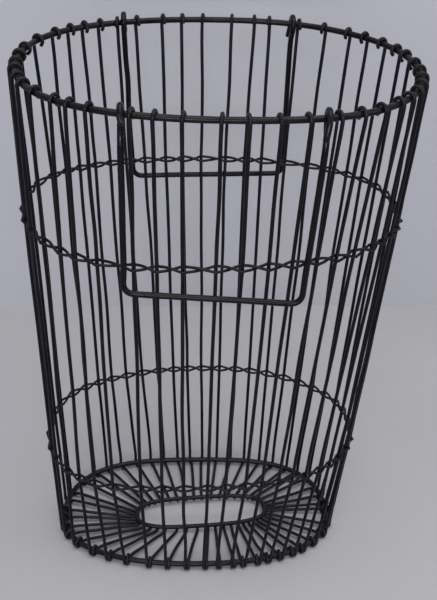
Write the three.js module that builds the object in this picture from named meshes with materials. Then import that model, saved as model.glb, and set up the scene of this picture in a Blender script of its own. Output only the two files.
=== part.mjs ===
// Fruit picker basket: a tall oval basket of bent wire for orchard and vineyard.
// Units are millimetres, +Z is up, the origin is the middle of the footprint on the ground.
// X runs along the long side of the oval, -Y is the front. The front and back walls each
// carry a bail handle that swings on the rim.
//
// Every wire of the basket is one piece. The ribs hook over the rim, run down the wall, loop
// under the base hoop and cross the floor to a small inner hoop that lies on their ends. Two
// twined bands, each of two strands, pass inside and outside the ribs in turn and hold them at
// their spacing.

import * as THREE from 'three';

const UP = new THREE.Vector3(0, 0, 1);
const rad = THREE.MathUtils.degToRad;

// ---- wires -----------------------------------------------------------------------------

// hexagonal sections, radius to the corners
const RIM_WIRE_R = 3.4;
const BASE_WIRE_R = 3.25;
const INNER_WIRE_R = 2.7;
const HANDLE_WIRE_R = 3.2;
// square sections, half the side
const RIB_HALF = 1.65;              // stands for a 3.7 mm wire
const STRAND_HALF = 1.25;           // stands for a 2.8 mm wire

// ---- hoops and bands -------------------------------------------------------------------

// Plan of each hoop is a superellipse about (x, y) at height z. The wander is how far the
// hand-bent hoop strays outward: cosine and sine amounts of the 2nd to 5th wave round it.
const RIM = {
  halfX: 210.5, halfY: 169.7, squareness: 2.224, x: 0.4, y: -1.28, z: 624,
  wander: [-0.12, 0.42, -1.02, -1.08, -0.76, 0.23, 0.68, 0.37],
};
const BASE = {
  halfX: 176.6, halfY: 103.8, squareness: 2.351, x: -7.8, y: 0.42, z: 8,
  wander: [0.40, -0.73, -0.38, -0.01, -1.35, 0.50, -0.19, -1.11],
};
const INNER = { halfX: 86.0, halfY: 27.8, squareness: 2.99, x: -1.9, y: -7.28, z: 9 };
const INNER_TURN = rad(3.6);        // anticlockwise turn of the inner hoop in plan

// mean height of each band; the sway is the cosine and sine amounts of its 1st to 4th wave
const UPPER_BAND = { z: 460.5, sway: [0.78, -5.61, 2.93, -1.80, -1.50, 0.33, 0.75, 0.78] };
const LOWER_BAND = { z: 149.5, sway: [3.91, 2.06, 0.32, -3.69, -1.07, 0.39, 2.90, -1.14] };

const BUTT_GAP = 0.4;               // gap at the butt joint of a hoop

const STRAND_OFFSET = 4.72;         // strand centre line beside a rib
const STRAND_RISE = 2.0;            // half the height between two strands where they cross
const STRAND_GAP = 1.2;             // gap between the cut ends of a strand

// ---- wall and ribs ---------------------------------------------------------------------

const WALL_OFFSET = 5.5;            // rib centre line outside the hoop centre line
const WALL_BOW = { x: 2.3, y: -1.4 };  // outward bow of the wall half way down

const HOOK_R = 5.85;                // rib centre line round the rim
const HOOK_ANGLES = [248, 206, 166, 126, 88, 48, 8];  // from the tip, 0 outward and 90 up
// these ribs, by number, have a hook square to the handle eye beside it
const SQUARE_HOOKS = [8, 16];
const SQUARE_HOOK_EXTRA = 0.65;     // added reach of a square hook

// offsets outward from the base hoop centre line, with heights over the ground
const FOOT_HALF = 2.05;             // half length of the flat foot under the base hoop
const FOOT_TURN = rad(48);          // the rib turns by this at each end of its foot
const FOOT_SLOPE = 4.1;             // length of the slope at each end of the foot
const WALL_END = [5.7, 9.5];        // where the wall run meets the foot
const FLOOR_BEND = [-6.2, 6.6];     // where the foot turns toward the inner hoop
const FLOOR_START = { offset: -6.2, z: 7.6, toInner: 3.6 };  // just past that bend

const UNDER_INNER = 4.72;           // rib centre line under the inner hoop centre line
const BEFORE_INNER = 4.2;           // the rib levels out this far outside the inner hoop
const PAST_INNER = 1.3;             // and ends this far inside it

// one entry a rib, as angles round each oval in degrees:
// rim, upper band, lower band, base hoop, inner hoop
const RIBS = [
  [1.9, 0.3, 0.0, 3.0, 1.52], [10.6, 9.9, 8.7, 9.8, 6.98],
  [17.5, 18.4, 17.5, 17.3, 14.64], [26.5, 28.3, 28.2, 28.3, 27.39],
  [35.6, 36.7, 37.5, 38.1, 38.3], [43.4, 45.0, 46.2, 45.7, 46.64],
  [53.3, 54.6, 54.6, 54.1, 55.78], [62.8, 63.9, 62.8, 61.4, 64.03],
  [72.8, 72.4, 70.5, 68.9, 72.36], [77.5, 78.1, 76.5, 75.2, 79.0],
  [84.2, 84.2, 82.5, 81.3, 84.95], [91.5, 90.6, 88.7, 87.1, 89.35],
  [97.2, 95.7, 92.4, 90.7, 91.1], [103.2, 101.2, 97.2, 95.1, 95.08],
  [111.9, 108.4, 103.2, 100.7, 101.0], [118.95, 115.3, 109.6, 106.5, 107.81],
  [125.5, 121.6, 116.6, 113.4, 116.31], [132.0, 127.9, 123.5, 120.9, 125.49],
  [138.2, 135.1, 130.6, 128.9, 135.01], [145.7, 142.2, 138.3, 136.9, 143.77],
  [156.4, 150.7, 148.3, 149.4, 156.27], [167.4, 161.7, 160.3, 160.5, 166.41],
  [175.0, 170.8, 169.4, 169.1, 173.89], [181.7, 179.3, 178.0, 177.5, 179.16],
  [187.6, 185.0, 183.5, 182.6, 181.62], [196.3, 194.5, 193.5, 191.8, 188.35],
  [203.3, 202.6, 201.5, 199.4, 196.53], [212.2, 212.3, 211.3, 209.5, 208.94],
  [221.8, 221.5, 220.3, 221.5, 222.81], [227.4, 227.8, 228.8, 231.1, 233.31],
  [233.8, 235.7, 237.5, 240.4, 243.4], [246.05, 247.3, 249.1, 250.8, 254.54],
  [252.1, 254.0, 256.8, 258.5, 262.22], [259.2, 260.9, 263.9, 265.5, 268.29],
  [267.8, 268.7, 270.1, 270.5, 271.01], [273.0, 273.9, 274.7, 274.5, 274.51],
  [279.9, 280.4, 281.0, 279.6, 280.04], [287.0, 286.8, 286.7, 285.1, 286.28],
  [295.4, 294.25, 293.1, 291.3, 293.74], [302.6, 300.75, 298.9, 296.1, 299.51],
  [310.1, 307.7, 305.3, 302.3, 306.96], [318.6, 316.2, 312.5, 309.4, 315.27],
  [325.2, 322.8, 319.2, 315.5, 322.1], [332.7, 330.3, 326.9, 324.5, 331.67],
  [341.0, 338.6, 336.1, 335.3, 342.03], [348.4, 345.9, 344.2, 345.8, 351.48],
  [355.9, 353.6, 353.2, 355.9, 358.65],
].map((degrees) => {
  const [rim, upper, lower, base, inner] = degrees.map(rad);
  return { rim, upper, lower, base, inner };
});

// ---- handles ---------------------------------------------------------------------------

const EYE_R = 7.5;                  // centre line of a handle eye
const EYE_TURN = 258;               // degrees of wire round the rim in an eye
const EYE_STEPS = 9;
const CORNER_R = 11;                // bend at the bottom corners of a handle
const CORNER_STEPS = 4;

// each end: rim angle of the eye in degrees, how far in from the eye the bar end sits, and
// how far below it
const FRONT_HANDLE = {
  left: { eye: 243.3, inset: 1.3, drop: 184.2 },
  right: { eye: 292.17, inset: 10.9, drop: 193.8 },
  facing: -1,
};
const BACK_HANDLE = {
  left: { eye: 116.65, inset: 10.6, drop: 197.1 },
  right: { eye: 65.05, inset: -2.4, drop: 194.4 },
  facing: 1,
};

// ---- materials -------------------------------------------------------------------------

function paint({ color, roughness }) {
  return new THREE.MeshStandardMaterial({ color, roughness, metalness: 0.35 });
}

const MATERIALS = {
  hoop: paint({ color: 0x1f2023, roughness: 0.48 }),
  rib: paint({ color: 0x1c1d21, roughness: 0.52 }),
  band: paint({ color: 0x232327, roughness: 0.6 }),
  handle: paint({ color: 0x1d1e20, roughness: 0.42 }),
};

// ---- curves round the basket -----------------------------------------------------------

// sum of four successive waves, given as cosine and sine amounts in turn
function waves(amounts, firstWave, angle) {
  let sum = 0;
  for (let k = 0; k < 4; k++) {
    const phase = (k + firstWave) * angle;
    sum += amounts[2 * k] * Math.cos(phase) + amounts[2 * k + 1] * Math.sin(phase);
  }
  return sum;
}

// a point of a hoop's centre line, with the superellipse grown outward by `grow`
function hoopPoint(plan, angle, grow = 0) {
  const power = (value) => Math.sign(value) * Math.pow(Math.abs(value), 2 / plan.squareness);
  const x = (plan.halfX + grow) * power(Math.cos(angle));
  const y = (plan.halfY + grow) * power(Math.sin(angle));
  const stretch = plan.wander ? 1 + waves(plan.wander, 2, angle) / Math.hypot(x, y) : 1;
  return new THREE.Vector3(plan.x + x * stretch, plan.y + y * stretch, plan.z);
}

const rimPoint = (angle) => hoopPoint(RIM, angle);
const basePoint = (angle) => hoopPoint(BASE, angle);

function innerPoint(angle) {
  const centre = new THREE.Vector3(INNER.x, INNER.y, 0);
  return hoopPoint(INNER, angle).sub(centre).applyAxisAngle(UP, INNER_TURN).add(centre);
}

// a band runs in the surface the rib centre lines lie in, between the rim and the base hoop
function bandPoint(band, angle) {
  const z = band.z + waves(band.sway, 1, angle);
  const down = (RIM.z - z) / (RIM.z - BASE.z);
  const bow = 4 * down * (1 - down);
  const point = hoopPoint(RIM, angle, WALL_OFFSET);
  point.lerp(hoopPoint(BASE, angle, WALL_OFFSET), down);
  point.x += bow * WALL_BOW.x * Math.cos(angle);
  point.y += bow * WALL_BOW.y * Math.sin(angle);
  return point.setZ(z);
}

const upperPoint = (angle) => bandPoint(UPPER_BAND, angle);
const lowerPoint = (angle) => bandPoint(LOWER_BAND, angle);

// a point of a curve, with the level directions along it (anticlockwise) and outward
function frameAt(curve, angle) {
  const step = 0.004;
  const along = curve(angle + step).sub(curve(angle - step)).setZ(0).normalize();
  const out = new THREE.Vector3().crossVectors(along, UP).normalize();
  return { point: curve(angle), along, out };
}

// the point `offset` outward of a frame, at height z
function beside({ point, out }, offset, z) {
  return point.clone().addScaledVector(out, offset).setZ(z);
}

// ---- bent wire -------------------------------------------------------------------------

// A wire through stations { point, side }. The side is a direction roughly across the wire;
// the section keeps one of its axes on it, so flats stay where they are wanted.
class WirePath extends THREE.Curve {
  constructor(stations) {
    super();
    this.stations = stations;
  }

  // the sweep takes the stations themselves as its steps
  getSpacedPoints() {
    return this.stations.map(({ point }) => point);
  }

  computeFrenetFrames() {
    const points = this.getSpacedPoints();
    const frames = { tangents: [], normals: [], binormals: [] };
    this.stations.forEach(({ point, side }, i) => {
      const tangent = new THREE.Vector3();
      if (i > 0) tangent.add(point.clone().sub(points[i - 1]).normalize());
      if (i < points.length - 1) tangent.add(points[i + 1].clone().sub(point).normalize());
      tangent.normalize();
      const binormal = side.clone().addScaledVector(tangent, -side.dot(tangent)).normalize();
      frames.tangents.push(tangent);
      frames.normals.push(new THREE.Vector3().crossVectors(binormal, tangent).normalize());
      frames.binormals.push(binormal);
    });
    return frames;
  }
}

function square(half) {
  const corners = [[-half, -half], [half, -half], [half, half], [-half, half]];
  return new THREE.Shape(corners.map(([x, y]) => new THREE.Vector2(x, y)));
}

function hexagon(radius) {
  const corners = [];
  for (let k = 0; k < 6; k++) {
    const angle = k * Math.PI / 3;
    corners.push(new THREE.Vector2(radius * Math.cos(angle), radius * Math.sin(angle)));
  }
  return new THREE.Shape(corners);
}

function bendWire(name, section, stations, material) {
  const geometry = new THREE.ExtrudeGeometry(section, {
    steps: stations.length - 1,
    bevelEnabled: false,
    extrudePath: new WirePath(stations),
  });
  const mesh = new THREE.Mesh(geometry, material);
  mesh.name = name;
  return mesh;
}

// ---- hoops -----------------------------------------------------------------------------

// a hoop bent round to a butt joint at angle `joint`
function hoop(name, curve, { wireR, steps, joint }) {
  const probe = 0.01;
  const gap = BUTT_GAP * probe / curve(joint + probe).distanceTo(curve(joint));
  const stations = [];
  for (let i = 0; i <= steps; i++) {
    const angle = joint + gap / 2 + (2 * Math.PI - gap) * i / steps;
    stations.push({ point: curve(angle), side: UP });
  }
  return bendWire(name, hexagon(wireR), stations, MATERIALS.hoop);
}

// ---- ribs ------------------------------------------------------------------------------

// over the rim: from the tip under it, up the inside, over the top and down the outside
function rimHook(angle, isSquare) {
  const frame = frameAt(rimPoint, angle);
  let reach = HOOK_R;
  if (isSquare) {
    // a slanted loop is longer across the rim
    reach = HOOK_R / Math.abs(frame.out.y) + SQUARE_HOOK_EXTRA;
    frame.out.set(0, Math.sign(frame.out.y), 0);
    frame.along.set(-frame.out.y, 0, 0);
  }
  return HOOK_ANGLES.map(rad).map((turn) => ({
    point: beside(frame, reach * Math.cos(turn), RIM.z + HOOK_R * Math.sin(turn)),
    side: frame.along,
  }));
}

function wallCrossing(curve, angle) {
  const { point, along } = frameAt(curve, angle);
  return { point, side: along };
}

// under the base hoop, from outside to inside
function baseLoop(frame) {
  const flatZ = RIB_HALF * Math.cos(FOOT_TURN / 2);         // puts the foot's flat on the ground
  const slopeEnd = FOOT_HALF + FOOT_SLOPE * Math.cos(FOOT_TURN);
  const slopeZ = flatZ + FOOT_SLOPE * Math.sin(FOOT_TURN);
  const profile = [
    WALL_END,
    [slopeEnd, slopeZ],
    [FOOT_HALF, flatZ],
    [-FOOT_HALF, flatZ],
    [-slopeEnd, slopeZ],
    FLOOR_BEND,
  ];
  return profile.map(([offset, z]) => ({ point: beside(frame, offset, z), side: frame.along }));
}

// across the floor to the inner hoop and under it, where the end is welded
function floorRun(base, inner) {
  const toInner = inner.point.clone().sub(base.point).setZ(0).normalize();
  const across = new THREE.Vector3().crossVectors(toInner, UP).normalize();
  const start = beside(base, FLOOR_START.offset, FLOOR_START.z);
  const endZ = INNER.z - UNDER_INNER;
  return [
    { point: start.addScaledVector(toInner, FLOOR_START.toInner), side: across },
    {
      point: beside(inner, BEFORE_INNER, endZ),
      side: across.clone().add(inner.along).normalize(),
    },
    { point: beside(inner, -PAST_INNER, endZ), side: inner.along },
  ];
}

function rib(number, angles) {
  const base = frameAt(basePoint, angles.base);
  const stations = [
    ...rimHook(angles.rim, SQUARE_HOOKS.includes(number)),
    wallCrossing(upperPoint, angles.upper),
    wallCrossing(lowerPoint, angles.lower),
    ...baseLoop(base),
    ...floorRun(base, frameAt(innerPoint, angles.inner)),
  ];
  const name = 'rib_' + String(number).padStart(2, '0');
  return bendWire(name, square(RIB_HALF), stations, MATERIALS.rib);
}

// ---- bands -----------------------------------------------------------------------------

// One strand of a twined band past ribs at `angles`. It passes outside the first rib if
// `first` is 1 and inside it if -1, then changes side, and height, from rib to rib.
function strand(name, curve, angles, first) {
  const frames = angles.map((angle) => frameAt(curve, angle));
  const last = frames.length - 1;

  // half way from one rib to the next, moved on by `shift` toward the next
  const between = (from, to, rise, shift) => {
    const step = to.point.clone().sub(from.point).normalize();
    return from.point.clone().add(to.point).multiplyScalar(0.5)
      .addScaledVector(step, shift)
      .addScaledVector(UP, rise * STRAND_RISE);
  };

  const points = [between(frames[last], frames[0], -first, STRAND_GAP / 2)];
  frames.forEach((frame, i) => {
    const sign = i % 2 === 0 ? first : -first;
    const next = frames[(i + 1) % frames.length];
    points.push(frame.point.clone().addScaledVector(frame.out, sign * STRAND_OFFSET));
    points.push(between(frame, next, sign, i === last ? -STRAND_GAP / 2 : 0));
  });
  const stations = points.map((point) => ({ point, side: UP }));
  return bendWire(name, square(STRAND_HALF), stations, MATERIALS.band);
}

function twinedBand(name, curve, angles) {
  return [
    strand(name + '_strand_a', curve, angles, 1),
    strand(name + '_strand_b', curve, angles, -1),
  ];
}

// ---- handles ---------------------------------------------------------------------------

// points of a rounded corner at `corner`, on the way from `before` to `after`
function roundCorner(before, corner, after) {
  const back = before.clone().sub(corner).normalize();
  const onward = after.clone().sub(corner).normalize();
  const half = back.angleTo(onward) / 2;
  const setback = CORNER_R / Math.tan(half);
  const centre = back.clone().add(onward).normalize()
    .multiplyScalar(CORNER_R / Math.sin(half))
    .add(corner);
  const start = corner.clone().addScaledVector(back, setback).sub(centre);
  const end = corner.clone().addScaledVector(onward, setback).sub(centre);
  const turn = start.angleTo(end);
  const axis = new THREE.Vector3().crossVectors(start, end).normalize();
  const points = [];
  for (let i = 0; i <= CORNER_STEPS; i++) {
    points.push(start.clone().applyAxisAngle(axis, turn * i / CORNER_STEPS).add(centre));
  }
  return points;
}

// a bail handle: an eye round the rim, a leg, the bar, the other leg and its eye
function handle(name, { left, right, facing }) {
  const leftEye = rimPoint(rad(left.eye));
  const rightEye = rimPoint(rad(right.eye));
  const hinge = rightEye.clone().sub(leftEye).normalize();
  const out = new THREE.Vector3().crossVectors(UP, hinge).normalize().multiplyScalar(facing);

  // an eye from its leg, round the rim to the cut end; the section turns about the hinge
  // line, except at the leg, where it faces out
  const eyeStations = (centre) => {
    const stations = [];
    for (let i = 0; i <= EYE_STEPS; i++) {
      const angle = rad(EYE_TURN * i / EYE_STEPS);
      const point = centre.clone()
        .addScaledVector(out, EYE_R * Math.cos(angle))
        .addScaledVector(UP, EYE_R * Math.sin(angle));
      stations.push({ point, side: i === 0 ? out : hinge });
    }
    return stations;
  };
  const barEnd = (legTop, inset, drop) => (
    legTop.clone().addScaledVector(hinge, inset).addScaledVector(UP, -drop)
  );

  const leftStations = eyeStations(leftEye);
  const rightStations = eyeStations(rightEye);
  const leftTop = leftStations[0].point;
  const rightTop = rightStations[0].point;
  const leftCorner = barEnd(leftTop, left.inset, left.drop);
  const rightCorner = barEnd(rightTop, -right.inset, right.drop);
  const corners = [
    ...roundCorner(leftTop, leftCorner, rightCorner),
    ...roundCorner(leftCorner, rightCorner, rightTop),
  ];
  const stations = [
    ...leftStations.reverse(),
    ...corners.map((point) => ({ point, side: out })),
    ...rightStations,
  ];
  return bendWire(name, hexagon(HANDLE_WIRE_R), stations, MATERIALS.handle);
}

// ---- assembly --------------------------------------------------------------------------

const basket = new THREE.Group();
basket.add(
  // the rim joint is under the hook of rib 23, the base joint over the foot of rib 2
  hoop('rim_hoop', rimPoint, { wireR: RIM_WIRE_R, steps: 84, joint: RIBS[22].rim }),
  hoop('base_hoop', basePoint, { wireR: BASE_WIRE_R, steps: 66, joint: RIBS[1].base }),
  hoop('inner_hoop', innerPoint, { wireR: INNER_WIRE_R, steps: 44, joint: rad(30) }),
  ...RIBS.map((angles, i) => rib(i + 1, angles)),
  ...twinedBand('upper_band', upperPoint, RIBS.map(({ upper }) => upper)),
  ...twinedBand('lower_band', lowerPoint, RIBS.map(({ lower }) => lower)),
);

const picker = new THREE.Group();
picker.add(
  basket,
  handle('front_handle', FRONT_HANDLE),
  handle('back_handle', BACK_HANDLE),
);

export default picker;
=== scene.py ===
"""Fruit picker basket: the visible black enamelled wires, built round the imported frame.

The basket stands on the floor at z = 0 with its long side along x: front -y, back +y, right +x.
Ribs loop over an oval rim, run down through two twined bands, wrap a base hoop and cross the
floor to an inner hoop. A bail hangs outside the front and the back. Wire sizes are millimetres;
meshes, stage, lights and camera are in metres.
"""

import math

import bpy
import numpy as np
from mathutils import Matrix, Vector


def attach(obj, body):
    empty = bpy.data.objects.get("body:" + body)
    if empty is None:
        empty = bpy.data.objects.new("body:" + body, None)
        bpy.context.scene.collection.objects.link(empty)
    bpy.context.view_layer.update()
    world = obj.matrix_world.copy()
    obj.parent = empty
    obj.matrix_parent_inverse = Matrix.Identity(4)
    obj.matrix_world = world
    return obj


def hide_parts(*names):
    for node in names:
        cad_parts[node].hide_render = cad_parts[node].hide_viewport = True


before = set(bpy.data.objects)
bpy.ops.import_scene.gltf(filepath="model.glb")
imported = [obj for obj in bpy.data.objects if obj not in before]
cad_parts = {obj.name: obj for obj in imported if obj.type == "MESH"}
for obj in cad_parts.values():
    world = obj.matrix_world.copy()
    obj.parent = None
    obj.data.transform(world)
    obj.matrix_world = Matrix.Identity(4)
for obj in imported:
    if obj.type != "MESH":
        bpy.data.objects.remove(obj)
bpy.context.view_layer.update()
MM = 0.001

# ---- driving dimensions ----------------------------------------------------------------------

# wire radii
RIM_R, BASE_R, INNER_R, HANDLE_R, RIB_R, STRAND_R = 3.4, 3.5, 2.9, 3.25, 2.05, 1.55
WIRE_GAP = 0.05      # between wires that lie side by side

# heights of the wire centres
RIM_Z, UPPER_Z, LOWER_Z, BASE_Z, INNER_Z = 624.0, 460.5, 149.5, 8.0, 9.0

# Superellipses: half sizes, power, centre, turn in degrees. "wander" moves the oval in and out,
# as cosine and sine amounts of 2, 3, 4 and 5 waves a turn
RIM = dict(half_x=210.5, half_y=169.7, power=2.224, x=0.4, y=-1.28,
           wander=[-0.12, 0.42, -1.02, -1.08, -0.76, 0.23, 0.68, 0.37])
BASE = dict(half_x=176.6, half_y=103.8, power=2.351, x=-7.8, y=0.42,
            wander=[0.40, -0.73, -0.38, -0.01, -1.35, 0.50, -0.19, -1.11])
INNER = dict(half_x=86.0, half_y=27.8, power=2.99, x=-1.9, y=-7.28, turn=3.6)

# height waves of the bands: cosine and sine amounts of 1, 2, 3 and 4 waves a turn
UPPER_WAVE = [0.78, -5.61, 2.93, -1.80, -1.50, 0.33, 0.75, 0.78]
LOWER_WAVE = [3.91, 2.06, 0.32, -3.69, -1.07, 0.39, 2.90, -1.14]

WALL_OFFSET = RIM_R + RIB_R + WIRE_GAP      # rib centres outside the rim's centre line
WALL_BOW_X, WALL_BOW_Y = 2.3, -1.4          # bulge of the wall at half height

# one row a rib, as angles round each oval in degrees: at the rim, the upper band, the lower
# band, the base hoop and the inner hoop
UPPER_COLUMN, LOWER_COLUMN = 1, 2
RIBS = [
    (1.9, 0.3, 0.0, 3.0, 1.52),
    (10.6, 9.9, 8.7, 9.8, 6.98),
    (17.5, 18.4, 17.5, 17.3, 14.64),
    (26.5, 28.3, 28.2, 28.3, 27.39),
    (35.6, 36.7, 37.5, 38.1, 38.3),
    (43.4, 45.0, 46.2, 45.7, 46.64),
    (53.3, 54.6, 54.6, 54.1, 55.78),
    (62.8, 63.9, 62.8, 61.4, 64.03),
    (72.8, 72.4, 70.5, 68.9, 72.36),
    (77.5, 78.1, 76.5, 75.2, 79.0),
    (84.2, 84.2, 82.5, 81.3, 84.95),
    (91.5, 90.6, 88.7, 87.1, 89.35),
    (97.2, 95.7, 92.4, 90.7, 91.1),
    (103.2, 101.2, 97.2, 95.1, 95.08),
    (111.9, 108.4, 103.2, 100.7, 101.0),
    (118.95, 115.3, 109.6, 106.5, 107.81),
    (125.5, 121.6, 116.6, 113.4, 116.31),
    (132.0, 127.9, 123.5, 120.9, 125.49),
    (138.2, 135.1, 130.6, 128.9, 135.01),
    (145.7, 142.2, 138.3, 136.9, 143.77),
    (156.4, 150.7, 148.3, 149.4, 156.27),
    (167.4, 161.7, 160.3, 160.5, 166.41),
    (175.0, 170.8, 169.4, 169.1, 173.89),
    (181.7, 179.3, 178.0, 177.5, 179.16),
    (187.6, 185.0, 183.5, 182.6, 181.62),
    (196.3, 194.5, 193.5, 191.8, 188.35),
    (203.3, 202.6, 201.5, 199.4, 196.53),
    (212.2, 212.3, 211.3, 209.5, 208.94),
    (221.8, 221.5, 220.3, 221.5, 222.81),
    (227.4, 227.8, 228.8, 231.1, 233.31),
    (233.8, 235.7, 237.5, 240.4, 243.4),
    (246.05, 247.3, 249.1, 250.8, 254.54),
    (252.1, 254.0, 256.8, 258.5, 262.22),
    (259.2, 260.9, 263.9, 265.5, 268.29),
    (267.8, 268.7, 270.1, 270.5, 271.01),
    (273.0, 273.9, 274.7, 274.5, 274.51),
    (279.9, 280.4, 281.0, 279.6, 280.04),
    (287.0, 286.8, 286.7, 285.1, 286.28),
    (295.4, 294.25, 293.1, 291.3, 293.74),
    (302.6, 300.75, 298.9, 296.1, 299.51),
    (310.1, 307.7, 305.3, 302.3, 306.96),
    (318.6, 316.2, 312.5, 309.4, 315.27),
    (325.2, 322.8, 319.2, 315.5, 322.1),
    (332.7, 330.3, 326.9, 324.5, 331.67),
    (341.0, 338.6, 336.1, 335.3, 342.03),
    (348.4, 345.9, 344.2, 345.8, 351.48),
    (355.9, 353.6, 353.2, 355.9, 358.65),
]

# ---- ovals -----------------------------------------------------------------------------------

rad = math.radians
UP = np.array([0.0, 0.0, 1.0])
LEVEL = np.array([1, 1, 0])      # keeps x and y and drops the height


def unit(v):
    return v / np.linalg.norm(v)


def wave(amounts, t, first):
    return sum(amounts[2 * k] * math.cos((k + first) * t)
               + amounts[2 * k + 1] * math.sin((k + first) * t) for k in range(4))


def oval(shape, t, grow, z):
    cos_t, sin_t = math.cos(t), math.sin(t)
    power = 2 / shape["power"]
    x = (shape["half_x"] + grow) * math.copysign(abs(cos_t) ** power, cos_t)
    y = (shape["half_y"] + grow) * math.copysign(abs(sin_t) ** power, sin_t)
    scale = 1 + wave(shape.get("wander", [0.0] * 8), t, 2) / math.hypot(x, y)
    x, y, turn = x * scale, y * scale, rad(shape.get("turn", 0.0))
    return np.array([shape["x"] + x * math.cos(turn) - y * math.sin(turn),
                     shape["y"] + x * math.sin(turn) + y * math.cos(turn), z])


def rim_point(t):
    return oval(RIM, t, 0, RIM_Z)


def base_point(t):
    return oval(BASE, t, 0, BASE_Z)


def inner_point(t):
    return oval(INNER, t, 0, INNER_Z)


def wall_point(t, z):
    """Centre of a rib in the wall, between the rim's oval and the base's."""
    s = (RIM_Z - z) / (RIM_Z - BASE_Z)
    point = (1 - s) * oval(RIM, t, WALL_OFFSET, 0) + s * oval(BASE, t, WALL_OFFSET, 0)
    bow = 4 * s * (1 - s)
    return np.array([point[0] + bow * WALL_BOW_X * math.cos(t),
                     point[1] + bow * WALL_BOW_Y * math.sin(t), z])


def upper_point(t):
    return wall_point(t, UPPER_Z + wave(UPPER_WAVE, t, 1))


def lower_point(t):
    return wall_point(t, LOWER_Z + wave(LOWER_WAVE, t, 1))


def along(ring_point, t):
    """Level direction along an oval, anticlockwise seen from above."""
    step = ring_point(t + 0.004) - ring_point(t - 0.004)
    step[2] = 0
    return unit(step)


def outward(tangent):
    return unit(np.cross(tangent, UP))


# ---- wire ------------------------------------------------------------------------------------


def between(start, end, t_start, t_end, t):
    span = t_end - t_start
    return (t_end - t) / span * start + (t - t_start) / span * end


def spline(points, step=7.0):
    """Dense centripetal Catmull-Rom path through the points, 4 or more samples a span."""
    knots = [np.array(point, float) for point in points]
    knots = [2 * knots[0] - knots[1]] + knots + [2 * knots[-1] - knots[-2]]
    path = []
    for four in zip(knots, knots[1:], knots[2:], knots[3:]):
        times = [0.0]
        for start, end in zip(four, four[1:]):
            times.append(times[-1] + max(np.linalg.norm(end - start), 1e-6) ** 0.5)
        count = max(4, int(math.ceil(np.linalg.norm(four[2] - four[1]) / step)))
        for k in range(count):
            t = times[1] + (times[2] - times[1]) * k / count
            three = [between(four[i], four[i + 1], times[i], times[i + 1], t) for i in range(3)]
            two = [between(three[i], three[i + 1], times[i], times[i + 2], t) for i in range(2)]
            path.append(between(two[0], two[1], times[1], times[2], t))
    path.append(knots[-2])
    return np.array(path)


def arc_length(path):
    return np.concatenate([[0], np.cumsum(np.linalg.norm(np.diff(path, axis=0), axis=1))])


def ripple(run, rng, waves):
    """A smooth unevenness along a wire: sum of (amount, wave length in mm)."""
    total = np.zeros_like(run)
    for amount, length in waves:
        cycles = run / (length * rng.uniform(0.8, 1.25)) + rng.uniform()
        total += amount * np.sin(2 * math.pi * cycles)
    return total


def cross_axes(path, closed):
    """Two axes across the wire at each point, carried along the path without twist."""
    count = len(path)
    tangents = np.zeros_like(path)
    if closed:
        tangents = np.roll(path, -1, 0) - np.roll(path, 1, 0)
    else:
        tangents[1:-1] = path[2:] - path[:-2]
        tangents[0], tangents[-1] = path[1] - path[0], path[-1] - path[-2]
    tangents /= np.linalg.norm(tangents, axis=1)[:, None]
    helper = UP if abs(tangents[0][2]) < 0.9 else np.array([1.0, 0, 0])
    normals = np.zeros_like(path)
    normals[0] = unit(np.cross(tangents[0], helper))
    for i in range(1, count):
        normals[i] = unit(normals[i - 1] - tangents[i] * np.dot(normals[i - 1], tangents[i]))
    if closed:  # share out the twist left over after one turn
        back = unit(normals[-1] - tangents[0] * np.dot(normals[-1], tangents[0]))
        twist = math.atan2(np.dot(np.cross(back, normals[0]), tangents[0]),
                           np.dot(back, normals[0]))
        for i in range(count):
            turn = twist * i / count
            normals[i] = (normals[i] * math.cos(turn)
                          + np.cross(tangents[i], normals[i]) * math.sin(turn))
    return normals, np.cross(tangents, normals)


def bevel_ends(path, radius, wear):
    """Add a narrower, fully worn ring at both cut ends."""
    start, end = unit(path[1] - path[0]), unit(path[-1] - path[-2])
    path = np.vstack([path[:1], path[:1] + start * (radius[0] * 0.24), path[1:-1],
                      path[-1:] - end * (radius[-1] * 0.24), path[-1:]])
    radius = np.concatenate([[radius[0] * 0.76], radius, [radius[-1] * 0.76]])
    return path, radius, np.concatenate([[1.0], wear, [1.0]])


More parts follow.
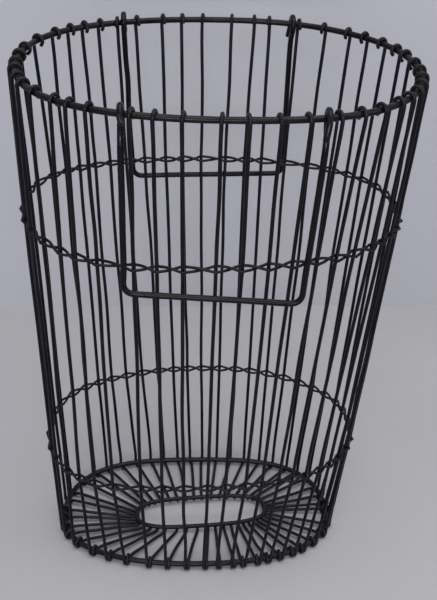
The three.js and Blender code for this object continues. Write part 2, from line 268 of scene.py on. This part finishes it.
def wire(name, path, radius, sides, wear, closed=False, rng=None, out_of_round=0.0):
    """A wire along a path as one closed mesh, flat at cut ends; exactly round without rng."""
    if not closed:
        path, radius, wear = bevel_ends(path, radius, wear)
    normals, binormals = cross_axes(path, closed)
    count = len(path)
    run = arc_length(path)
    angles = np.arange(sides) * 2 * math.pi / sides
    shape = np.ones((count, sides))
    if rng is not None:
        for lobes in (2, 3):
            phase = ripple(run, rng, [(1.2, 90), (0.6, 31)])
            amount = out_of_round * (0.6 + 0.4 * np.sin(run / 40 + rng.uniform(0, 6)))
            shape += (amount[:, None] / (lobes - 1)
                      * np.cos(lobes * angles[None, :] + phase[:, None]))
    ring = (normals[:, None, :] * np.cos(angles)[None, :, None]
            + binormals[:, None, :] * np.sin(angles)[None, :, None])
    verts = path[:, None, :] + ring * (radius[:, None] * shape)[:, :, None]
    faces = []
    for i in range(count if closed else count - 1):
        j = (i + 1) % count
        for k in range(sides):
            m = (k + 1) % sides
            faces.append((i * sides + k, i * sides + m, j * sides + m, j * sides + k))
    smooth = [True] * len(faces)
    if not closed:
        faces.append(tuple(range(sides - 1, -1, -1)))
        faces.append(tuple((count - 1) * sides + k for k in range(sides)))
        smooth += [False, False]
    mesh = bpy.data.meshes.new(name)
    mesh.from_pydata((verts.reshape(-1, 3) * MM).tolist(), [], faces)
    mesh.polygons.foreach_set("use_smooth", np.array(smooth))
    for label, values in (("wear", wear), ("run", run * MM)):
        attribute = mesh.attributes.new(label, "FLOAT", "POINT")
        attribute.data.foreach_set("value", np.repeat(values, sides).astype(np.float32))
    mesh.validate()
    mesh.update()
    obj = bpy.data.objects.new(name, mesh)
    bpy.context.scene.collection.objects.link(obj)
    return obj


def place(obj, node, body, slot):
    obj.data.materials.append(PAINTS[slot])
    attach(obj, body)
    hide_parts(node)


# ---- materials -------------------------------------------------------------------------------


def fill(node, values):
    for key, value in values.items():
        node.inputs[key].default_value = value


class Nodes:
    """Small helper to wire up a node tree."""

    def __init__(self, tree):
        self.tree = tree
        tree.nodes.clear()

    def add(self, kind, **settings):
        node = self.tree.nodes.new(kind)
        for key, value in settings.items():
            setattr(node, key, value)
        return node

    def link(self, output, target):
        self.tree.links.new(output, target)

    def noise(self, coords, scale, detail, rough):
        node = self.add("ShaderNodeTexNoise")
        fill(node, {"Scale": scale, "Detail": detail, "Roughness": rough})
        self.link(coords, node.inputs["Vector"])
        return node.outputs["Fac"]

    def span(self, value, low, high, to_low=0.0, to_high=1.0):
        node = self.add("ShaderNodeMapRange", clamp=True)
        fill(node, {"From Min": low, "From Max": high, "To Min": to_low, "To Max": to_high})
        self.link(value, node.inputs["Value"])
        return node.outputs["Result"]

    def math(self, operation, *values):
        node = self.add("ShaderNodeMath", operation=operation)
        for i, value in enumerate(values):
            if isinstance(value, (int, float)):
                node.inputs[i].default_value = value
            else:
                self.link(value, node.inputs[i])
        return node.outputs[0]

    def mix(self, factor, first, second):
        node = self.add("ShaderNodeMix", data_type="RGBA")
        self.link(factor, node.inputs[0])
        for i, colour in ((6, first), (7, second)):      # the colour sockets A and B
            if isinstance(colour, tuple):
                node.inputs[i].default_value = (*colour, 1.0)
            else:
                self.link(colour, node.inputs[i])
        return node.outputs[2]

    def bump(self, height, strength, distance, normal=None):
        node = self.add("ShaderNodeBump")
        fill(node, {"Strength": strength, "Distance": distance})
        self.link(height, node.inputs["Height"])
        if normal:
            self.link(normal, node.inputs["Normal"])
        return node.outputs[0]


def new_material(name):
    """A material with an output, a surface shader and object coordinates."""
    material = bpy.data.materials.new(name)
    material.use_nodes = True
    nodes = Nodes(material.node_tree)
    output = nodes.add("ShaderNodeOutputMaterial")
    shader = nodes.add("ShaderNodeBsdfPrincipled")
    coords = nodes.add("ShaderNodeTexCoord").outputs["Object"]
    return material, nodes, output, shader, coords


def black_paint(name, tone, light_tone, rough, dust, chips):
    """Black enamel brushed on wire: cloudy tone, grey dust on what faces up and where the wire is
    worn, chips down to dull grey metal, and a faintly lumpy, brushed surface."""
    material, n, output, shader, coords = new_material(name)
    n.link(shader.outputs[0], output.inputs[0])
    geometry = n.add("ShaderNodeNewGeometry")
    facing = n.add("ShaderNodeSeparateXYZ")
    n.link(geometry.outputs["Normal"], facing.inputs[0])
    wear = n.add("ShaderNodeAttribute", attribute_name="wear").outputs["Fac"]

    cloud = n.noise(coords, scale=38, detail=4, rough=0.6)
    fine = n.noise(coords, scale=420, detail=4, rough=0.65)
    grain = n.noise(coords, scale=1900, detail=2, rough=0.5)
    lump = n.noise(coords, scale=150, detail=2, rough=0.5)

    colour = n.mix(n.span(cloud, low=0.36, high=0.66), tone, light_tone)
    # dust, broken up by the fine and cloudy noise
    dusty = n.math("MULTIPLY", n.span(facing.outputs["Z"], low=0.2, high=0.95), 0.7)
    dusty = n.math("MAXIMUM", dusty, n.math("MULTIPLY", wear, 0.75))
    dusty = n.math("MULTIPLY", dusty, n.span(fine, low=0.32, high=0.72, to_low=0.2))
    dusty = n.math("MULTIPLY", dusty, n.span(cloud, low=0.3, high=0.7, to_low=0.35))
    dusty = n.math("MULTIPLY", dusty, dust)
    colour = n.mix(dusty, colour, (0.098, 0.101, 0.104))
    # chips, where noise passes a threshold that wear lowers
    spot = n.noise(coords, scale=560, detail=3, rough=0.6)
    threshold = n.math("SUBTRACT", 0.80, n.math("MULTIPLY", wear, chips))
    chip = n.span(n.math("SUBTRACT", spot, threshold), low=0.0, high=0.035)
    metal = n.mix(n.span(grain, low=0.35, high=0.65),
                  (0.038, 0.034, 0.031), (0.078, 0.080, 0.079))
    colour = n.mix(n.math("MULTIPLY", chip, 0.75), colour, metal)
    n.link(colour, shader.inputs["Base Color"])

    # dust and chips are rougher than the enamel
    roughness = n.span(fine, low=0.3, high=0.75, to_low=rough - 0.07, to_high=rough + 0.10)
    roughness = n.math("ADD", roughness, n.math("MULTIPLY", dusty, 0.6))
    roughness = n.math("ADD", roughness, n.math("MULTIPLY", chip, 0.15))
    n.link(roughness, shader.inputs["Roughness"])
    n.link(n.math("MULTIPLY", chip, 0.35), shader.inputs["Metallic"])
    fill(shader, {"IOR": 1.45, "Specular IOR Level": 0.18, "Coat Roughness": 0.2})

    # lumps, then brush marks with sunken chips, then grain
    relief = n.bump(lump, strength=0.5, distance=0.00035)
    brushed = n.math("SUBTRACT", fine, n.math("MULTIPLY", chip, 0.6))
    relief = n.bump(brushed, strength=0.35, distance=0.00012, normal=relief)
    relief = n.bump(grain, strength=0.25, distance=0.00003, normal=relief)
    n.link(relief, shader.inputs["Normal"])
    return material


PAINTS = {
    "hoop_paint": black_paint(
        "hoop_black_enamel", tone=(0.0026, 0.0023, 0.0038), light_tone=(0.0058, 0.0055, 0.0070),
        rough=0.25, dust=0.20, chips=0.26),
    "rib_paint": black_paint(
        "rib_black_enamel", tone=(0.0028, 0.0024, 0.0044), light_tone=(0.0056, 0.0050, 0.0078),
        rough=0.32, dust=0.20, chips=0.30),
    "band_paint": black_paint(
        "band_black_enamel", tone=(0.0028, 0.0025, 0.0042), light_tone=(0.0062, 0.0057, 0.0076),
        rough=0.40, dust=0.18, chips=0.30),
    "handle_paint": black_paint(
        "handle_black_enamel", tone=(0.0022, 0.0020, 0.0032), light_tone=(0.0048, 0.0046, 0.0058),
        rough=0.24, dust=0.16, chips=0.28),
}

# ---- hoops -----------------------------------------------------------------------------------


def hoop(name, ring_point, wire_r, count, seam, seed, sides=18, wobble=0.25):
    """A closed hoop with a thickened weld at the seam angle, in degrees."""
    rng = np.random.default_rng(seed)
    angles = rad(seam) + 2 * math.pi * np.arange(count) / count
    path = np.array([ring_point(t) for t in angles])
    run = arc_length(path)
    total = run[-1] + np.linalg.norm(path[0] - path[-1])
    # whole numbers of waves, so the wander in height and radius closes on itself
    for waves in (3, 5, 8):
        path[:, 2] += wobble / waves * 2 * np.cos(
            2 * math.pi * waves * run / total + rng.uniform(0, 6.28))
    weld = np.exp(-((np.minimum(run, total - run) / 3.0) ** 2))
    uneven = sum(0.006 * np.cos(2 * math.pi * waves * run / total + rng.uniform(0, 6.28))
                 for waves in (11, 17, 29, 41))
    radius = wire_r * (1 + uneven + 0.16 * weld)
    obj = wire(name + "_wire", path, radius, sides, wear=0.55 * weld + 0.12, closed=True)
    place(obj, name + "_hoop", "basket", "hoop_paint")


# the rim's weld is at rib 23, the base's at rib 2
hoop("rim", rim_point, RIM_R, count=420, seam=RIBS[22][0], seed=11)
hoop("base", base_point, BASE_R, count=340, seam=RIBS[1][3], seed=12)
hoop("inner", inner_point, INNER_R, count=220, seam=30.0, seed=13, sides=16, wobble=0.15)

# ---- ribs ------------------------------------------------------------------------------------

# the wrap round the base hoop, one turn and a half: angle from straight outward, going down
BASE_WRAP = [14, -30, -62, -90, -118, -160, -205, -250, -292, -334, -372, -410, -450, -486, -516]
HOOK_COUNT = 6       # entries of it that make the single hook of a back rib
WRAP_STEP = 4.2      # how far the wrap moves along the hoop,
WRAP_STEP_TURN = 372     # and the degrees of wrap it takes over it
# ribs beside a handle eye, and the way their loops are kept clear of it
LEAN = {16: 0.9, 8: -0.9, 39: -1.7}
# ribs whose loop sits square to the eye beside it, turned from across the rim
SQUARE_LOOPS = (8, 16)

# A rib is gathered as stations, (point, wear), from its tip at the rim to the inner hoop.


def rim_loop(number, angle, rng):
    """Stations of the loop over the rim, and the outward direction it lies in."""
    centre, tangent = rim_point(angle), along(rim_point, angle)
    out = outward(tangent)
    stretch = 1.0
    if number in SQUARE_LOOPS:
        stretch = 1 / abs(out[1])
        out = np.array([0.0, math.copysign(1.0, out[1]), 0.0])
        tangent = np.array([-out[1], 0.0, 0.0])
    # loops at the front are small and neat, towards the ends of the oval they hang open
    endness = abs(math.cos(angle)) ** 0.7
    front = math.sin(angle) < -0.75
    # angles up from straight outward: cut tip, inner side where it starts to open, last point
    tip = (206 if front else 196) + rng.uniform(-8, 10) + 62 * endness ** 1.4 * rng.uniform(0.75, 1.1)
    inside, last = 126, 8
    open_by = (0.15 + 1.0 * endness) * rng.uniform(0.5, 1.2)
    top_rise = rng.uniform(0.0, 0.3)
    # sideways drift of the tip along the rim
    drift = -math.copysign(1.0, math.cos(angle)) * tangent[0] * rng.uniform(1.3, 2.3)
    drift *= 1.0 if front else 0.35
    drift += endness * rng.uniform(-0.9, 0.9)
    drift = LEAN.get(number, drift)
    stations = []
    for a in list(np.linspace(tip, inside, 4)) + [88, 48, last]:
        share = (a - last) / (tip - last)
        reach = WALL_OFFSET + open_by * max(0.0, (a - inside) / (tip - inside)) ** 2
        reach += top_rise if 60 < a < 130 else 0.0
        point = (centre + out * reach * math.cos(rad(a)) * stretch
                 + UP * reach * math.sin(rad(a)) + tangent * drift * share)
        stations.append((point, 0.55))
    stations.append((centre + out * WALL_OFFSET * stretch - UP * 4.5, 0.3))
    return stations, out


def wall_run(start, end, shares, scatter, out, rng):
    """Stations between two points, with the small bends a hand-straightened wire keeps."""
    side = unit(np.cross(unit(end - start), out))
    stations = []
    for share in shares:
        bend = scatter * math.sin(math.pi * share)
        point = (start + (end - start) * share
                 + side * rng.normal(0, bend) + out * rng.normal(0, bend * 0.55))
        stations.append((point, 0.05))
    return stations


def base_wrap(angle, toward):
    """Stations down to and round the base hoop, and the shift along it at the end.
    The ribs of the back wall hook once under the hoop, the others go round it."""
    centre, tangent = base_point(angle), along(base_point, angle)
    out = outward(tangent)
    stations = [(centre * LEVEL + out * 5.6 + UP * 16.0, 0.75)]
    for a in BASE_WRAP[:HOOK_COUNT] if math.sin(angle) > 0.15 else BASE_WRAP:
        sink = max(0.0, -math.sin(rad(a))) ** 3 * 0.5       # lower under the hoop, to the floor
        reach = BASE_R + RIB_R + 0.06 + sink
        shift = toward * WRAP_STEP * min(1.0, (BASE_WRAP[0] - a) / WRAP_STEP_TURN)
        point = (centre + out * reach * math.cos(rad(a)) + UP * reach * math.sin(rad(a))
                 + tangent * shift)
        stations.append((point, 0.75))
    return stations, shift


def floor_run(base, base_tangent, shift, inner_angle, go, rng):
    """Stations across the floor, to end welded under the inner hoop."""
    inner = inner_point(inner_angle)
    inner_out = outward(along(inner_point, inner_angle))
    under = INNER_Z - (INNER_R + RIB_R - 0.8)      # sunk 0.8 into the hoop
    across = np.cross(go, UP)
    far = inner * LEVEL + unit(inner_out - go) * 4.4 + UP * (under - 0.4)
    near = (base * LEVEL + outward(base_tangent) * -6.6 + UP * 7.0 + go * 2.6
            + base_tangent * shift)
    stations = [(near, 0.3)]
    for share in (0.33, 0.68):
        bend = 0.4 * math.sin(math.pi * share)
        point = (near + (far - near) * share
                 + across * rng.normal(0, bend) + UP * rng.normal(0.3, bend * 0.5))
        stations.append((point, 0.1))
    stations.append((far, 0.4))
    stations.append((inner * LEVEL - inner_out * rng.uniform(-0.3, 0.6) + UP * under, 0.7))
    return stations


def rib(number, row):
    rng = np.random.default_rng(1000 + number)
    rim_t, upper_t, lower_t, base_t, inner_t = [rad(x) for x in row]
    upper, lower, base = upper_point(upper_t), lower_point(lower_t), base_point(base_t)
    base_tangent = along(base_point, base_t)
    go = unit((inner_point(inner_t) - base) * LEVEL)
    toward = math.copysign(1.0, float(np.dot(go, base_tangent)))
    stations, out = rim_loop(number, rim_t, rng)
    foot, shift = base_wrap(base_t, toward)
    stations += wall_run(stations[-1][0], upper, (0.12, 0.45, 0.8), 0.42, out, rng)
    stations.append((upper, 0.5))
    stations += wall_run(upper, lower, (0.16, 0.38, 0.62, 0.86), 0.75, out, rng)
    stations.append((lower, 0.5))
    stations += wall_run(lower, foot[0][0], (0.3, 0.72), 0.42, out, rng)
    stations += foot
    stations += floor_run(base, base_tangent, shift, inner_t, go, rng)
    points, wear = zip(*stations)
    path = spline(points)
    # carry wear to the dense path by its share of the length
    station_run = arc_length(np.array(points))
    run = arc_length(path)
    run = run * station_run[-1] / run[-1]
    wear = np.interp(run, station_run, wear)
    radius = RIB_R * (1 + ripple(run, rng, [(0.012, 60), (0.012, 17), (0.008, 7)]))
    obj = wire("rib_wire_%02d" % number, path, radius, 12, wear, rng=rng, out_of_round=0.012)
    place(obj, "rib_%02d" % number, "basket", "rib_paint")


for number, row in enumerate(RIBS, 1):
    rib(number, row)

# ---- twined bands ----------------------------------------------------------------------------

STEPS = 16           # points from one rib to the next
END_GAP = 0.03       # each end stops this share of a cell short of its middle


def band(level, ring_point, column, seed):
    """Two strands that pass a rib on opposite sides and swap over each other before the next.
    Their ends meet between the last rib and the first."""
    rng = np.random.default_rng(seed)
    count = len(RIBS)
    angles = [rad(row[column]) for row in RIBS]
    centres = [ring_point(t) for t in angles]
    outs = [outward(along(ring_point, t)) for t in angles]
    clear = RIB_R + STRAND_R + WIRE_GAP
    lifts = [2.0 * math.sin(t) + rng.uniform(-0.5, 0.5) for t in angles]
    lifts = [x if abs(x) > 0.5 else math.copysign(0.5, x) for x in lifts]
    tilts = [math.atan2(lift, clear) for lift in lifts]
    reaches = [math.hypot(lift, clear) for lift in lifts]
    waists = [rng.uniform(1.60, 2.0) for _ in RIBS]      # strand from centre at the crossing
    sags = [rng.uniform(-0.5, 0.5) for _ in RIBS]
    # rib before the cell, and the shares of the cell where the strand starts and ends
    cells = [(-1, 0.5 + END_GAP, 1.0)]
    cells += [(i, 0.0, 1.0) for i in range(count - 1)]
    cells += [(count - 1, 0.0, 0.5 - END_GAP)]
    for key, turn, side in (("a", 0.0, 1), ("b", math.pi, -1)):
        points = []
        for i, start, end in cells:
            here, there = i % count, (i + 1) % count
            # half a turn a rib, counted on past the last rib
            turn_here = tilts[here] - math.pi * i + turn
            turn_there = tilts[there] - math.pi * (i + 1) + turn
            for q in range(STEPS):
                u = start + (end - start) * q / STEPS
                eased = u - 0.11 * math.sin(2 * math.pi * u)
                angle = turn_here + (turn_there - turn_here) * eased
                middle = math.sin(math.pi * u) ** 0.8
                reach = reaches[here] * (1 - u) + reaches[there] * u
                reach = reach * (1 - middle) + waists[here] * middle
                out = unit(outs[here] * (1 - u) + outs[there] * u)
                centre = (centres[here] * (1 - u) + centres[there] * u
                          + UP * sags[here] * math.sin(math.pi * u))
                points.append(centre + out * reach * math.cos(angle)
                              + UP * reach * math.sin(angle))
        # short bent-out tails at both ends
        out = unit(outs[-1] + outs[0])
        onward = unit(centres[0] - centres[-1])
        first, last = points[0], points[-1]
        head = [first + out * 2.6 - UP * side * 4.4 - onward * 1.2,
                first + out * 1.1 - UP * side * 2.2 - onward * 0.9]
        tail = [last + out * 0.9 + UP * side * 2.0 + onward * 0.9,
                last + out * 2.2 + UP * side * 4.2 + onward * 1.2]
        path = np.vstack([spline([*head, first, points[3]])[:-4], points[3:-3],
                          spline([points[-3], last, *tail])])
        radius = STRAND_R * (1 + ripple(arc_length(path), rng, [(0.015, 23), (0.015, 9)]))
        obj = wire(level + "_twine_" + key, path, radius, 10, wear=np.full(len(path), 0.15),
                   rng=rng, out_of_round=0.015)
        place(obj, level + "_band_strand_" + key, "basket", "band_paint")


band("upper", upper_point, UPPER_COLUMN, seed=21)
band("lower", lower_point, LOWER_COLUMN, seed=22)

# ---- handles ---------------------------------------------------------------------------------

LEG_OFFSET = 7.5     # plane of the legs, outside the eyes' points on the rim
CORNER_R = 11.0

# Pairs are left, then right. eyes: rim angles in degrees; inset, drop: the bottom corners from
# the eyes, towards the middle and down; hooks: from the cut tip outside the rim over its top, as
# outward, up, and along towards the right eye
HANDLES = {
    "front_handle": dict(
        side=-1, body="front_bail", seed=31,
        eyes=(243.3, 292.17), inset=(1.3, 10.9), drop=(184.2, 193.8),
        hooks=(
            [(10.3, -5.2, 4.0), (10.1, -4.6, 2.0), (9.3, -2.4, 0.5), (8.1, 1.0, 0.0),
             (5.5, 5.0, 0.0), (0.9, 7.5, 0.0)],
            [(12.2, -18.5, -2.6), (11.7, -13.0, -1.9), (10.5, -6.5, -0.8), (8.6, -0.4, -0.2),
             (5.6, 4.9, 0.0), (0.9, 7.2, 0.0)])),
    "back_handle": dict(
        side=1, body="back_bail", seed=32,
        eyes=(116.65, 65.05), inset=(10.6, -2.4), drop=(197.1, 194.4),
        hooks=(
            [(11.8, -15.0, 1.4), (11.0, -9.5, 0.9), (9.6, -3.6, 0.4), (8.3, 1.6, 0.1),
             (5.6, 6.3, 0.0), (0.9, 9.0, 0.0)],
            [(12.2, -18.5, -2.2), (11.7, -13.0, -1.5), (10.4, -6.5, -0.7), (8.4, 0.2, -0.1),
             (5.4, 5.6, 0.0), (0.9, 8.0, 0.0)])),
}
# then down inside the rim, and out under it to the plane of the leg: outward, up
HOOK_RETURN = [(-3.9, 6.2), (-6.8, 2.1), (-6.7, -2.8), (-4.6, -7.6), (-0.8, -12.0), (2.8, -17.0),
               (5.3, -24.0), (6.8, -33.5), (LEG_OFFSET, -48.0)]


def corner(before, at, after):
    """Seven points of the arc that rounds off the corner at a point."""
    back_way, on_way = unit(before - at), unit(after - at)
    half = math.acos(float(np.dot(back_way, on_way))) / 2
    setback = CORNER_R / math.tan(half)
    centre = at + unit(back_way + on_way) * CORNER_R / math.sin(half)
    start, end = at + back_way * setback - centre, at + on_way * setback - centre
    turn = math.acos(float(np.dot(unit(start), unit(end))))
    return [centre + (start * math.sin((1 - k / 6) * turn) + end * math.sin(k / 6 * turn))
            / math.sin(turn) for k in range(7)]


def handle(node, spec):
    rng = np.random.default_rng(spec["seed"])
    eyes = [rim_point(rad(t)) for t in spec["eyes"]]
    axis = unit(eyes[1] - eyes[0])
    out = unit(np.cross(UP, axis)) * spec["side"]
    tops = [eye + out * LEG_OFFSET for eye in eyes]
    feet = [top + axis * inset * way - UP * drop
            for top, inset, way, drop in zip(tops, spec["inset"], (1, -1), spec["drop"])]

    def hook(eye, top, foot, over):
        """Hook points of one eye. Below the rim they take up the leg's own slant."""
        slant = (foot - top) * LEVEL / np.linalg.norm(foot - top)
        points = [eye + out * o + UP * h + axis * a for o, h, a in over]
        return points + [eye + out * o + UP * h + slant * max(0.0, -4 - h)
                         for o, h in HOOK_RETURN]

    def leg(top, foot, shares):
        """Points down a leg, bent a little along the axis and outward."""
        return [top + (foot - top) * share
                + axis * rng.normal(0, 0.35) + out * abs(rng.normal(0, 0.35)) * 0.6
                for share in shares]

    left, right = [hook(*parts) for parts in zip(eyes, tops, feet, spec["hooks"])]
    bar = [feet[0] + (feet[1] - feet[0]) * share
           + UP * rng.normal(0, 0.25) + out * abs(rng.normal(0, 0.25))
           for share in (0.25, 0.5, 0.75)]
    points = left + leg(tops[0], feet[0], (0.36, 0.6, 0.84))
    points += corner(tops[0], feet[0], feet[1]) + bar + corner(feet[0], feet[1], tops[1])
    points += leg(tops[1], feet[1], (0.84, 0.6, 0.36)) + right[::-1]
    path = spline(points, step=5.0)
    run = arc_length(path)
    total = run[-1]
    # worn at the hooks and in the middle of the bar
    wear = np.clip(0.62 - np.minimum(run, total - run) / 90.0, 0.08, 1.0)
    wear = np.maximum(wear, 0.35 * np.exp(-(((run - total / 2) / 60.0) ** 2)))
    radius = HANDLE_R * (1 + ripple(run, rng, [(0.008, 70), (0.008, 21), (0.005, 9)]))
    obj = wire(spec["body"] + "_wire", path, radius, 18, wear, rng=rng, out_of_round=0.008)
    place(obj, node, spec["body"], "handle_paint")


for node, spec in HANDLES.items():
    handle(node, spec)

# ---- floor and wall --------------------------------------------------------------------------

STAGE_HALF, WALL_Y, WALL_TOP = 6, 0.545, 4      # metres


def plain(name, colour, rough, one_sided=False):
    """A pale, softly mottled and fibrous sheet; one-sided it is clear from behind."""
    material, n, output, shader, coords = new_material(name)
    soft = n.noise(coords, scale=2.2, detail=3, rough=0.55)
    fibre = n.noise(coords, scale=240, detail=2, rough=0.5)
    mottled = n.mix(n.span(soft, low=0.3, high=0.7),
                    tuple(x * 0.97 for x in colour), tuple(min(1, x * 1.03) for x in colour))
    mottled = n.mix(n.span(fibre, low=0.3, high=0.7, to_high=0.12),
                    mottled, tuple(x * 0.9 for x in colour))
    n.link(mottled, shader.inputs["Base Color"])
    fill(shader, {"Roughness": rough, "Specular IOR Level": 0.25})
    n.link(n.bump(fibre, strength=0.15, distance=0.0008), shader.inputs["Normal"])
    surface = shader.outputs[0]
    if one_sided:
        clear = n.add("ShaderNodeBsdfTransparent")
        mixer = n.add("ShaderNodeMixShader")
        geometry = n.add("ShaderNodeNewGeometry")
        n.link(geometry.outputs["Backfacing"], mixer.inputs[0])
        n.link(surface, mixer.inputs[1])
        n.link(clear.outputs[0], mixer.inputs[2])
        surface = mixer.outputs[0]
    n.link(surface, output.inputs[0])
    return material


def sheet(name, near, far, material):
    """A sheet as wide as the stage, between two edges given as (y, z)."""
    corners = [(-STAGE_HALF, *near), (STAGE_HALF, *near), (STAGE_HALF, *far), (-STAGE_HALF, *far)]
    mesh = bpy.data.meshes.new(name)
    mesh.from_pydata(corners, [], [(0, 1, 2, 3)])
    mesh.update()
    obj = bpy.data.objects.new(name, mesh)
    obj.data.materials.append(material)
    bpy.context.scene.collection.objects.link(obj)


sheet("floor", (-STAGE_HALF, 0), (STAGE_HALF, 0),
      plain("floor_pale", colour=(0.378, 0.375, 0.388), rough=0.85))
sheet("wall", (WALL_Y, 0), (WALL_Y, WALL_TOP),
      plain("wall_pale", colour=(0.424, 0.421, 0.460), rough=0.9, one_sided=True))

# ---- light and camera ------------------------------------------------------------------------


def area(name, where, aim, size, power, colour):
    data = bpy.data.lights.new(name, "AREA")
    data.shape = "RECTANGLE"
    data.size, data.size_y = size
    data.energy = power
    data.color = colour
    obj = bpy.data.objects.new(name, data)
    obj.location = where
    obj.rotation_mode = "QUATERNION"
    obj.rotation_quaternion = (Vector(aim) - Vector(where)).to_track_quat("-Z", "Y")
    bpy.context.scene.collection.objects.link(obj)


area("soft_top", where=(0.2, -0.5, 2.7), aim=(0, 0.1, 0.3), size=(2.6, 2.2), power=52,
     colour=(1.0, 0.99, 0.97))
area("window_front", where=(-0.5, -3.0, 1.12), aim=(0, 0.2, 0.35), size=(1.9, 0.26), power=46,
     colour=(0.98, 0.99, 1.0))
area("soft_right", where=(2.4, -0.9, 1.5), aim=(0, 0, 0.35), size=(1.4, 1.8), power=10,
     colour=(1.0, 1.0, 1.0))

world = bpy.data.worlds.new("studio")
world.use_nodes = True
fill(world.node_tree.nodes["Background"], {"Color": (0.88, 0.90, 1.0, 1), "Strength": 0.50})
scene = bpy.context.scene
scene.world = world
scene.view_settings.view_transform = "Standard"
scene.view_settings.look = "None"


def add_camera(where, yaw, pitch, roll):
    """Camera looking along +y, turned to the right by yaw and down by pitch, in radians."""
    ahead = np.array([math.sin(yaw) * math.cos(pitch), math.cos(yaw) * math.cos(pitch),
                      -math.sin(pitch)])
    level = np.array([math.cos(yaw), -math.sin(yaw), 0.0])
    above = np.cross(level, ahead)
    right = math.cos(roll) * level + math.sin(roll) * above
    top = -math.sin(roll) * level + math.cos(roll) * above
    data = bpy.data.cameras.new("camera")
    data.sensor_fit = "AUTO"
    data.sensor_width = 24.0
    data.lens = 40.0
    data.clip_start, data.clip_end = 0.05, 50
    camera = bpy.data.objects.new("camera", data)
    pose = Matrix.Identity(4)
    for i in range(3):
        pose[i] = (right[i], top[i], -ahead[i], where[i])
    camera.matrix_world = pose
    scene.collection.objects.link(camera)
    scene.camera = camera


add_camera((-0.08712, -1.02264, 0.94193), yaw=0.09446, pitch=0.53285, roll=0.04356)
